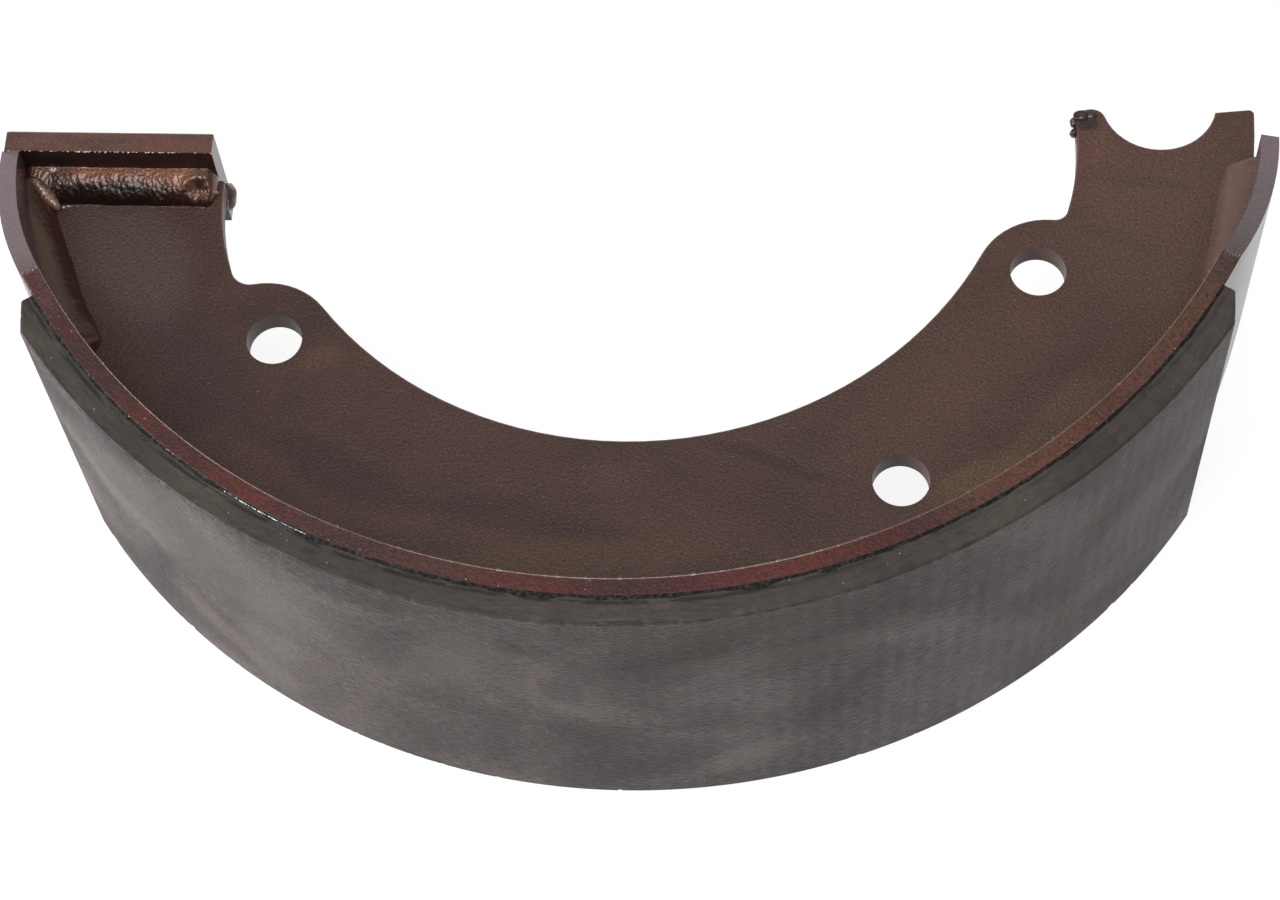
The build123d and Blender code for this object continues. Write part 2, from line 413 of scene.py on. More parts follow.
burr_length = radians(ANCHOR_TAPER_START - CAM_TAPER_START) * rim_inner
upper_arris = rim_arris(shoe_width, 1)
lower_arris = rim_arris(0.0, -1)
burr("rim_burr_upper", upper_arris, burr_length, 1, burr_metal, spread=2.2)
burr("rim_burr_lower", lower_arris, burr_length, 2, burr_metal, spread=1.2)


# ---- Cam pad --------------------------------------------------------------------------------------
# The pad is a length of flat bar set square across the end of the web and the rim, and the cam bears
# on its outer face. Sawing it left a row of small burrs on the arris over the weld.
PAD_TILT = 6.4
PAD_FRONT = 22.6
PAD_LENGTH = 47.2
PAD_SETBACK = 0.6

pad_low, pad_high = (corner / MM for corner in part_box("cam_pad"))
pad_across = Vector((cos(radians(PAD_TILT)), -sin(radians(PAD_TILT)), 0))
pad_normal = Vector((sin(radians(PAD_TILT)), cos(radians(PAD_TILT)), 0))
pad_outer_end = PAD_SETBACK - sqrt(rim_outer**2 - PAD_FRONT**2)
pad_inner_end = pad_outer_end + PAD_LENGTH

# To the eye it is a warmer brown than the plate, smoother, with a soft sheen and dull cut ends.
pad_finish = brown_lacquer(
    "brown lacquer over flat bar",
    [(0.3, "#3a251e"), (0.45, "#4b3128"), (0.6, "#57382c"), (0.75, "#44332a")],
    cut="#4b3b3d",
    runs=[
        ((-104, -10), -6, 9, 3, 0.6, "#54362e"),
        ((-122, -6), -6, 12, 2, 0.5, "#3b2c2c"),
        ((-135, -4), 40, 6, 3, 0.5, "#553a30"),
    ],
    relief=0.35,
    contrast=0.35,
    glint=0.5,
)
# The face over the weld looks towards -Y and is in deep shade, so a painted shade makes it dark and
# flat.
FRONT_SHADE = "#241813"
tree = pad_finish.node_tree
shader = tree.nodes["Principled BSDF"]
places = add(tree, "TexCoord").outputs
facing = add(tree, "SeparateXYZ", inputs={0: places["Normal"]})
# Painted shade on the faces that look towards -Y.
front_shade = add(tree, "MapRange", inputs={0: facing.outputs["Y"], 1: -0.7, 2: -0.9, 3: 0.0, 4: 0.9})
plain = shader.inputs["Base Color"].links[0].from_socket
front_shaded = add(tree, "Mix", COLOURS, {0: front_shade.outputs[0], 6: plain, 7: linear(FRONT_SHADE)})
tree.links.new(front_shaded.outputs[2], shader.inputs["Base Color"])
finish_node("cam_pad", pad_finish)


def pad_arris(height, up):
    """The pad's arris over the web, with up as 1 on its upper edge and -1 on its lower one."""

    def foot(along):
        point = pad_across * (pad_outer_end + along) - pad_normal * (PAD_FRONT - BURR_SET)
        return point + Vector((0, 0, height)), -pad_normal, Vector((0, 0, up))

    return foot


# To the eye it is a row of bright dots: torn steel that shed the lacquer, its near-white colour partly
# a painted glint.
glinting_bare_steel = brown_lacquer(
    "bare steel with painted glints",
    [(0.3, "#857570"), (0.5, "#b0a09a"), (0.7, "#d2c5bf")],
    cut="#b0a09a",
    grain=0.5,
    roughness=0.3,
    glint=1.0,
    metallic=0.5,
)
burr(
    "pad_burr_upper",
    pad_arris(pad_high.z, 1),
    PAD_LENGTH,
    3,
    glinting_bare_steel,
    thin=0.05,
    thick=0.24,
    rare=-0.02,
    pitch=0.5,
)
burr(
    "pad_burr_lower", pad_arris(pad_low.z, -1), PAD_LENGTH, 4, glinting_bare_steel, thin=0.05, pitch=0.8
)


# ---- Welds ----------------------------------------------------------------------------------------
# Fillet welds laid by hand hold the web to the rim and the pad, the same on both sides. Each is a
# crowned bead of overlapping ripples with a round start and a sunk crater where the arc was lifted.
WEB_LEG = 6.9
WALL_LEG = 4.9
WELD_CROWN = 1.0
# A bead that starts small reaches its full leg after this length.
FULL_AFTER = 25.0
RIPPLE = 1.5
RIPPLE_LAG = 1.7
BEAD_STEP = 0.2
BEAD_ACROSS = 44
# The skin runs a little past both toes, and its root lies inside the corner.
BEAD_FROM = -0.04
BEAD_SPAN = 1.08
BEAD_ROOT = 0.3
# The crater: its radius, its place across the bead, and the radius and width of the ring round it.
CRATER_RADIUS = 1.9
CRATER_ACROSS = 0.45
CRATER_RING = 3.0
RING_WIDTH = 0.8
# The ridge of a stop-start: its place along the bead at the wall, its slant and its width.
LIP_PLACE = 1.5
LIP_SLANT = 3.6
LIP_WIDTH = 0.9
# Where each weld runs: millimetres along the pad, and angles round the rim.
PAD_WELD_START = -139.0
CAM_END_WELD = (-176.8, -156.2)
CENTRE_WELD = (-103, -86)
ANCHOR_END_WELD = (-30.0, -12.0)

# To the eye it is copper brown and shiny, and its scaly skin glitters under the lamps. The lacquer is
# thin enough for the metal to count: it is half metallic, with a clear coat.
glossy_weld = brown_lacquer(
    "thin lacquer over bright weld metal",
    [(0.3, "#472a1d"), (0.5, "#663f2d"), (0.7, "#84583f")],
    cut="#663f2d",
    # Painted shade: dark patches on the bead's lower flank, in the corner at its start and in its end
    # crater.
    runs=[
        ((-116.5, -16.4), -6.4, 30, 3.3, 0.85, "#2b1a14"),
        ((-122.0, -15.3), -6.4, 17, 5.0, 0.9, "#211510"),
        ((-134.2, -12.4), -10, 7, 6, 0.85, "#291c17"),
        ((-98.6, -13.0), 60, 4, 3, 0.7, "#2f2018"),
    ],
    grain=0.45,
    relief=0.72,
    roughness=0.24,
    glint=0.5,
    metallic=0.55,
)
shader = glossy_weld.node_tree.nodes["Principled BSDF"]
shader.inputs["Coat Weight"].default_value = 0.35
shader.inputs["Coat Roughness"].default_value = 0.16
# To the eye it is an even dark brown with a soft sheen, because the lacquer pooled over the scale.
dull_weld = brown_lacquer(
    "brown lacquer over weld scale",
    [(0.3, "#35241b"), (0.5, "#442d22"), (0.7, "#523829")],
    cut="#442d22",
    runs=[
        ((131, -45), 66, 24, 10, 0.9, "#58423c"),
        # On the cam-end bead a paler band along its wall side is a painted highlight, and a dark band along
        # its flank is painted shade.
        ((-134.4, -33.6), 107, 26, 2.2, 0.7, "#584331"),
        ((-130.0, -32.6), 107, 28, 2.0, 0.8, "#35211c"),
    ],
    grain=0.7,
    contrast=0.25,
    relief=0.6,
    roughness=0.36,
    glint=0.2,
)


def weld_bead(
    node,
    foot,
    length,
    side,
    seed,
    finish,
    ripple=0.03,
    start_share=1.0,
    blunt=4.0,
    crater_back=5.5,
    crater_depth=0.4,
    lip=0.0,
    grit=0.05,
):
    """A fillet bead. foot gives a point of the corner and the direction out along the web, and side
    is 1 above the web and -1 under it. Its leg starts at start_share of the full size; blunt is how far
    its ends take to rise, crater_back how far the crater is from its end, lip the height of the
    stop-start ridge at its start, and ripple and grit those of its ripples and its scaly skin."""
    rows = []
    steps = ceil(length / BEAD_STEP)
    for i in range(steps + 1):
        along = length * i / steps
        corner, out = foot(along)
        nearest = max(0.0, min(along, length - along, blunt) / blunt)
        end = max(0.04, sqrt(1 - (1 - nearest) ** 2))
        grown = start_share + (1 - start_share) * min(1.0, along / FULL_AFTER)
        web_waver = 1 + 0.06 * sample(seed, along / 7) + 0.03 * sample(seed, along / 1.6, 5)
        wall_waver = 1 + 0.07 * sample(seed, along / 6, 9) + 0.02 * sample(seed, along / 1.5, 14)
        on_web = WEB_LEG * end * grown * web_waver
        on_wall = WALL_LEG * end * wall_waver
        ring = []
        for j in range(BEAD_ACROSS + 1):
            across = BEAD_FROM + BEAD_SPAN * j / BEAD_ACROSS
            swell = max(0.0, 4 * across * (1 - across))
            facing = radians(32 + 40 * across)
            lag = RIPPLE_LAG * (2 * across - 1) ** 2
            phase = (along + lag) / RIPPLE + 0.5 * sample(seed, along / 3, across * 2)
            scales = 0.6 * sample(seed, along / 0.7, across * 9)
            scales += 0.4 * sample(seed, along / 0.4, across * 18, 3)
            lumps = 0.16 * sample(seed, along / 5, across * 2, 6)
            lumps += 0.07 * sample(seed, along / 2, across * 4, 8)
            aside = (across - CRATER_ACROSS) * WEB_LEG * 1.2
            reach = sqrt((along - length + crater_back) ** 2 + aside**2)
            ring_height = 0.2 + 0.3 * sample(seed, along / 1.5, across * 5)
            raised = ring_height * exp(-(((reach - CRATER_RING) / RING_WIDTH) ** 2))
            crater = crater_depth * (raised - exp(-((reach / CRATER_RADIUS) ** 2)))
            ridge = lip * exp(-(((along - LIP_PLACE - LIP_SLANT * (1 - across)) / LIP_WIDTH) ** 2))
            lift = ripple * abs(sin(pi * phase)) + grit * 2 * scales + lumps + crater + ridge
            bow = end * WELD_CROWN * swell / sqrt(2)
            rise = end * swell**0.6 * lift
            outward = on_web * (1 - across) + bow + rise * cos(facing)
            upward = on_wall * across + bow + rise * sin(facing)
            ring.append(corner + out * outward + Vector((0, 0, side * upward)))
        ring.append(corner - out * BEAD_ROOT - Vector((0, 0, side * BEAD_ROOT)))
        rows.append(ring)
    name = node.replace("weld", "bead")
    return grid_piece(name, rows, finish, sharp=80, replaces=[node])


def rim_corner(start, side):
    """Foot of a weld in the corner of web and rim, from a start angle on."""

    def foot(along):
        angle = start + degrees(along / rim_inner)
        return polar(rim_inner, angle, web_middle + side * web_half), -polar(1, angle)

    return foot


def pad_corner(start, side):
    """Foot of a weld in the corner of web and pad, from a place along the pad on."""

    def foot(along):
        point = pad_across * (start + along) - pad_normal * PAD_FRONT
        return point + Vector((0, 0, web_middle + side * web_half)), -pad_normal

    return foot


# The toe: where it starts along the pad, its length and how far it lies past the weld's leg.
TOE_START = -131
TOE_LENGTH = 34.0
TOE_GAP = 0.35


def pad_weld_toe(along):
    """The ragged line where the pad's weld runs out on the web."""
    past_weld = TOE_GAP + 0.2 * sample(22, along / 4)
    point = pad_across * (TOE_START + along) - pad_normal * (PAD_FRONT + WEB_LEG + past_weld)
    return point + Vector((0, 0, web_high.z + 0.2)), -pad_normal, Vector((0, 0, 1))


def arc(start, stop):
    """Length along the rim's inner wall between two angles."""
    return radians(stop - start) * rim_inner


web_low, web_high = (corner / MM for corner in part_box("web_plate"))
web_middle = (web_high.z + web_low.z) / 2
web_half = (web_high.z - web_low.z) / 2
weld_bead(
    "cam_pad_weld_upper",
    pad_corner(PAD_WELD_START, 1),
    pad_inner_end + 0.1 - PAD_WELD_START,
    side=1,
    seed=21,
    finish=glossy_weld,
    grit=0.075,
    blunt=2.4,
    crater_back=4.2,
    crater_depth=0.9,
)
burr(
    "pad_bead_toe",
    pad_weld_toe,
    TOE_LENGTH,
    5,
    burr_metal,
    thin=0.05,
    thick=0.2,
    rare=0.15,
    pitch=0.7,
)
weld_bead(
    "cam_pad_weld_lower",
    pad_corner(PAD_WELD_START, -1),
    pad_inner_end + 0.5 - PAD_WELD_START,
    side=-1,
    seed=19,
    finish=glossy_weld,
    ripple=0.12,
    blunt=2.2,
    crater_back=7.0,
)
for side, level in ((1, "upper"), (-1, "lower")):
    weld_bead(
        f"cam_end_weld_{level}",
        rim_corner(CAM_END_WELD[0], side),
        arc(*CAM_END_WELD),
        side=side,
        seed=31 + side,
        finish=dull_weld,
        start_share=0.62,
        blunt=3.4,
        crater_back=4.6,
        crater_depth=0.6,
        lip=0.9,
        grit=0.03,
    )
    weld_bead(
        f"centre_weld_{level}",
        rim_corner(CENTRE_WELD[0], side),
        arc(*CENTRE_WELD),
        side=side,
        seed=34 + side,
        finish=dull_weld,
        ripple=0.1,
    )
    weld_bead(
        f"anchor_end_weld_{level}",
        rim_corner(ANCHOR_END_WELD[0], side),
        arc(*ANCHOR_END_WELD),
        side=side,
        seed=37 + side,
        finish=dull_weld,
        start_share=0.85,
        crater_back=2.6,
        grit=0.02,
    )


# ---- Weld spatter ---------------------------------------------------------------------------------
# Drops of weld metal that froze where they landed, under the lacquer: a few beside each weld, and
# beads where the flame cut started on the tapers and where the inner horn was trimmed.
DROP_RINGS = 9
DROP_SIDES = 16


def drop_piece(name, places, seed, finish):
    """Lumpy drops as one piece, from (centre in millimetres, radii along x, y and z) pairs."""
    shape = bmesh.new()
    for order, (centre, radii) in enumerate(places):
        made = bmesh.ops.create_uvsphere(shape, u_segments=DROP_SIDES, v_segments=DROP_RINGS, radius=1.0)
        for vertex in made["verts"]:
            rough = 1 + 0.3 * sample(seed + order, *(vertex.co * 1.2))
            vertex.co = (Vector(centre) + Vector([v * r for v, r in zip(vertex.co, radii)]) * rough) * MM
    mesh = bpy.data.meshes.new(name)
    shape.to_mesh(mesh)
    shape.free()
    mesh.polygons.foreach_set("use_smooth", [True] * len(mesh.polygons))
    mesh.materials.append(finish)
    piece = bpy.data.objects.new(name, mesh)
    bpy.context.scene.collection.objects.link(piece)
    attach(piece, "root")


draw = random.Random(7)
spatter = []
# Beside the rim's welds between two angles, then beside the pad's weld.
for low, high, count in ((-171, -154, 3), (-30, -16, 2)):
    for _ in range(count):
        size = draw.uniform(0.14, 0.3)
        landed = polar(draw.uniform(124, 131), draw.uniform(low, high), web_high.z)
        spatter.append((landed, (size, size, size * 0.7)))
for _ in range(6):
    size = draw.uniform(0.14, 0.28)
    landed = pad_across * draw.uniform(-134, -100) - pad_normal * draw.uniform(29.8, 36)
    spatter.append((landed + Vector((0, 0, web_high.z)), (size, size, size * 0.7)))
drop_piece("weld_spatter", spatter, 50, burr_metal)
spatter_low = Vector((-132.0, -15.7, web_high.z + 0.1))
stop_drops = [
    (spatter_low, (0.4, 0.4, 0.3)),
    (spatter_low + Vector((1.1, 0.2, 0)), (0.35, 0.35, 0.3)),
]
drop_piece("stop_start_drops", stop_drops, 55, glinting_bare_steel)

# Where the pad's weld stopped and the rim's weld started, a ridge runs down to the web.
RIDGE_STEPS = 40
RIDGE_SIDES = 12
RIDGE_RADIUS = 1.55
# The level direction square to the ridge.
RIDGE_ACROSS = (0.757, 0.653)
ridge_top = Vector((-138.2, -10.4, web_high.z + 4.2))
ridge_foot = Vector((-132.6, -16.9, web_high.z + 1.0))
# To the eye it is the palest part of the welds: its pale colour is a painted highlight on the crests of
# the ridge and the lumps.
highlit_weld_metal = brown_lacquer(
    "painted highlight over weld lumps",
    [(0.3, "#624a40"), (0.5, "#91766a"), (0.7, "#bda89d")],
    cut="#91766a",
    grain=0.4,
    relief=1.0,
    roughness=0.3,
    glint=0.8,
    metallic=0.6,
)
ridge = []
for order in range(RIDGE_STEPS + 1):
    share = order / RIDGE_STEPS
    centre = ridge_top.lerp(ridge_foot, share)
    size = RIDGE_RADIUS * max(0.05, sqrt(1 - (2 * share - 1) ** 2)) * (1 + 0.25 * sample(56, share * 6))
    ring = []
    for k in range(RIDGE_SIDES):
        turned = radians(360 * k / RIDGE_SIDES)
        rough = size * (1 + 0.3 * sample(57, share * 18, 2.5 * cos(turned), 2.5 * sin(turned)))
        level = [part * cos(turned) for part in RIDGE_ACROSS]
        ring.append(centre + Vector((*level, sin(turned))) * rough)
    ridge.append(ring)
grid_piece("stop_start_ridge", ridge, highlit_weld_metal, sharp=80)
drop_piece("weld_start_lump", [((-133.7, -8.0, web_high.z + 4.1), (1.9, 1.1, 0.9))], 58, highlit_weld_metal)
drop_piece(
    "weld_end_lumps",
    [
        ((-99.4, -15.0, web_high.z + 1.1), (1.0, 0.8, 0.8)),
        ((-97.5, -15.5, web_high.z + 1.0), (0.9, 0.7, 0.9)),
        ((-98.3, -16.4, web_high.z + 0.4), (0.7, 0.6, 0.5)),
    ],
    62,
    highlit_weld_metal,
)
# At the pad's end the weld ran round the corner in two lumps.
drop_piece(
    "weld_overrun",
    [
        ((-95.6, -10.7, web_low.z - 2.9), (1.9, 3.0, 3.2)),
        ((-97.4, -13.2, web_low.z - 1.8), (2.2, 2.3, 2.2)),
    ],
    110,
    dull_weld,
)
# To the eye it is nearly black with a dull shine, like charred lumps.
slag = brown_lacquer(
    "burnt lacquer over cutting slag",
    [(0.3, "#1d1416"), (0.5, "#2a1d1f"), (0.7, "#3b2b2d")],
    cut="#2a1d1f",
    grain=0.5,
    roughness=0.4,
)
drop_piece(
    "horn_beads",
    [
        ((98.6, -14.2, web_high.z - 1.4), (1.1, 1.3, 1.5)),
        ((98.2, -16.8, web_high.z - 1.7), (1.1, 1.0, 1.3)),
        ((98.9, -19.2, web_high.z - 2.6), (0.6, 1.1, 1.5)),
        ((100.3, -13.4, web_high.z - 0.3), (2.0, 1.5, 0.9)),
        ((102.0, -13.3, web_high.z - 0.4), (1.9, 1.3, 0.8)),
    ],
    80,
    slag,
)
# Beads where the flame cut started, and three more on the arris beside it. They lie below the edge.
TAPER_BEADS = 15
bead_level = shoe_width - 0.42
taper_beads = []
for start, way in ((ANCHOR_TAPER_START, 1), (CAM_TAPER_START, -1)):
    for _ in range(TAPER_BEADS):
        size = draw.uniform(0.12, 0.31)
        radius = rim_inner + draw.uniform(0.1, 3.7)
        angle = start + way * draw.uniform(-0.1, 0.3)
        taper_beads.append((polar(radius, angle, bead_level), (size, size, size)))
for angle in (-35.0, -37.9, -42.1):
    taper_beads.append((polar(rim_inner + 0.3, angle, bead_level), (0.3, 0.3, 0.32)))
drop_piece("taper_beads", taper_beads, 90, burr_metal)


# ---- Adhesive -------------------------------------------------------------------------------------
# The lining is bonded to the rim. The cured film is a dark line between them, and where it was
# squeezed out it lies along the joint as a rough, blackish crust on the lining's side.
SQUEEZE_STEP = 0.5
SQUEEZE_ACROSS = 8
# The lining's sides stand this far inside the rim's edges, and the crust fills the step. It starts on
# the rim, over its arris.
SIDE_SET = 0.3
OVER_ARRIS = 0.35
LINING_CAM_END = -153.7
LINING_ANCHOR_END = -35.9
# Where most of it came out: angle, reach in degrees and share.
HEAVY_STRETCHES = [(-101.0, 7.0, 1.0), (-81.0, 6.0, 0.7), (-66.0, 4.0, 0.4), (-119.0, 4.0, 0.4)]

# To the eye it is blackish and dull, and lumpy like dried tar.
adhesive, tree, shader, places = new_material("cured phenolic adhesive")
place = places["Object"]
crust = add(tree, "TexNoise", inputs={"Vector": place, "Scale": 1 / (0.8 * MM), "Detail": 4.0})
tint = add(
    tree,
    "ValToRGB",
    inputs={"Fac": crust.outputs[0]},
    stops=[(0.3, "#121111"), (0.5, "#1f1e1c"), (0.7, "#35332f")],
)
lumpy = add(tree, "Bump", inputs={"Strength": 0.5, "Distance": 0.3 * MM, "Height": crust.outputs[0]})
tree.links.new(tint.outputs[0], shader.inputs["Base Color"])
tree.links.new(lumpy.outputs[0], shader.inputs["Normal"])
shader.inputs["Roughness"].default_value = 0.85
shader.inputs["IOR"].default_value = 1.55
shader.inputs["Specular IOR Level"].default_value = 0.08
finish_node("adhesive_film", adhesive)


def squeeze_out(name, height, side, seed):
    """The crust along the joint on one side of the shoe, no higher than the rim's edge."""
    rows = []
    length = radians(LINING_ANCHOR_END - LINING_CAM_END) * lining_inner
    steps = ceil(length / SQUEEZE_STEP)
    for i in range(steps + 1):
        angle = LINING_CAM_END + (LINING_ANCHOR_END - LINING_CAM_END) * i / steps
        along = length * i / steps
        heavy = sum(share * exp(-(((angle - at) / reach) ** 2)) for at, reach, share in HEAVY_STRETCHES)
        ragged = 0.3 + sample(seed, along / 9) + 0.6 * sample(seed, along / 3.5, 3)
        width = 0.12 + (0.35 + 1.25 * min(1.0, heavy)) * max(0.0, ragged)
        ring = []
        for j in range(SQUEEZE_ACROSS + 1):
            across = j / SQUEEZE_ACROSS
            lump = 0.6 + 0.5 * sample(seed, along / 1.1, across * 3)
            lump += 0.3 * sample(seed, along / 0.5, across * 6)
            rise = SIDE_SET * (1 - across) * (min(1.0, max(0.2, lump)) if across > 0.2 else 0.97)
            level = height - side * (SIDE_SET - rise) if across < 1 else height - side * (SIDE_SET + 0.05)
            reached = (OVER_ARRIS + BOND + width) * across
            ring.append(polar(rim_outer - OVER_ARRIS + reached, angle, level))
        for inset in (0.1, 0.0):
            ring.append(polar(rim_outer + inset, angle, height - side * (SIDE_SET + 0.3)))
        rows.append(ring)
    grid_piece(name, rows, adhesive, sharp=60)


squeeze_out("adhesive_squeeze_upper", shoe_width, 1, 60)
squeeze_out("adhesive_squeeze_lower", 0.0, -1, 61)

# A painted reflection: a thread of pale bluish metal on the rim's outer arris stands for the lamp
# mirrored in the joint.
GLINT_START = -128.2
GLINT_LENGTH = 20.0


def outer_arris(along):
    """The rim's upper outer arris where the painted reflection lies."""
    angle = GLINT_START + degrees(along / rim_outer)
    return polar(rim_outer + BURR_SET, angle, shoe_width), -polar(1, angle), Vector((0, 0, 1))


# To the eye it is a broken, bluish white glint, painted into its colour.
joint_glint_metal, tree, shader, places = new_material("painted reflection on the outer arris")
glint_breaks = add(
    tree, "TexNoise", inputs={"Vector": places["Object"], "Scale": 1 / (0.5 * MM), "Detail": 3.0}
)
tint = add(
    tree,
    "ValToRGB",
    inputs={"Fac": glint_breaks.outputs[0]},
    stops=[(0.35, "#3f4348"), (0.5, "#8d98a3"), (0.65, "#d5dfe8")],
)
tree.links.new(tint.outputs[0], shader.inputs["Base Color"])
shader.inputs["Metallic"].default_value = 0.7
shader.inputs["Roughness"].default_value = 0.3
burr(
    "joint_glint",
    outer_arris,
    GLINT_LENGTH,
    9,
    joint_glint_metal,
    thin=0.02,
    thick=0.16,
    rare=-0.1,
    pitch=1.0,
)


# ---- Friction lining ------------------------------------------------------------------------------
# The lining is a moulded block of resin, mineral fibre and metal chips, ground to the drum's radius.
# Grinding leaves fine streaks round the face, and the brittle edges have small chips and pits.
LEAD_DEPTH = 3.4
LEAD_LENGTH = 6.5
LINING_STEP = 0.6
EDGE_ROUND = 0.22
FACE_STEPS = 46
# The grinder's chatter marks are this far apart, and its streaks are drawn coarser than the real ones,
# which are too fine to show.
CHATTER = 4.6
STREAK_PITCH = 0.7
HAZE = 26
STAIN = 2.0
FIBRE_PITCH = 1.3
PIT_PITCH = 3.1
# Smears of adhesive, and a painted shadow along the crust's edge, lie this far from the joint.
SMEAR_AND_SHADOW_PLACE = 1.0
# Most of the chips are round one angle: the angle and how far they reach from it.
CHIPPED_ARC = (-96.0, 6.0)
# Worn, dusty and heat-stained places on the ground face: distance round the drum and height of the
# centre, turn, half length and half width, strength and colour.
FACE_MARKS = [
    ((-286, 62), 60, 26, 9, 0.35, "#4f4745"),
    ((-330, 35), 80, 34, 9, 0.4, "#524d4a"),
    ((-345, 62), 0, 44, 26, 0.5, "#524d4a"),
    ((-258, 37), 0, 55, 2.2, 0.5, "#231e1c"),
    ((-259, 60), 80, 12, 6, 0.5, "#26211f"),
    ((-198, 55), 0, 9, 6, 0.5, "#26211f"),
    ((-213, 66), 0, 34, 5, 0.45, "#403c37"),
    ((-225, 83), 0, 48, 7, 0.55, "#272319"),
    ((-144, 38), 90, 20, 8, 0.45, "#322527"),
    ((-165, 50), 90, 32, 4, 0.35, "#433c3a"),
    ((-120, 60), 90, 26, 6, 0.4, "#3d3734"),
    ((-136, 48), 90, 62, 42, 0.7, "#31231e"),
]
face_length = radians(LINING_ANCHOR_END - LINING_CAM_END) * drum_radius


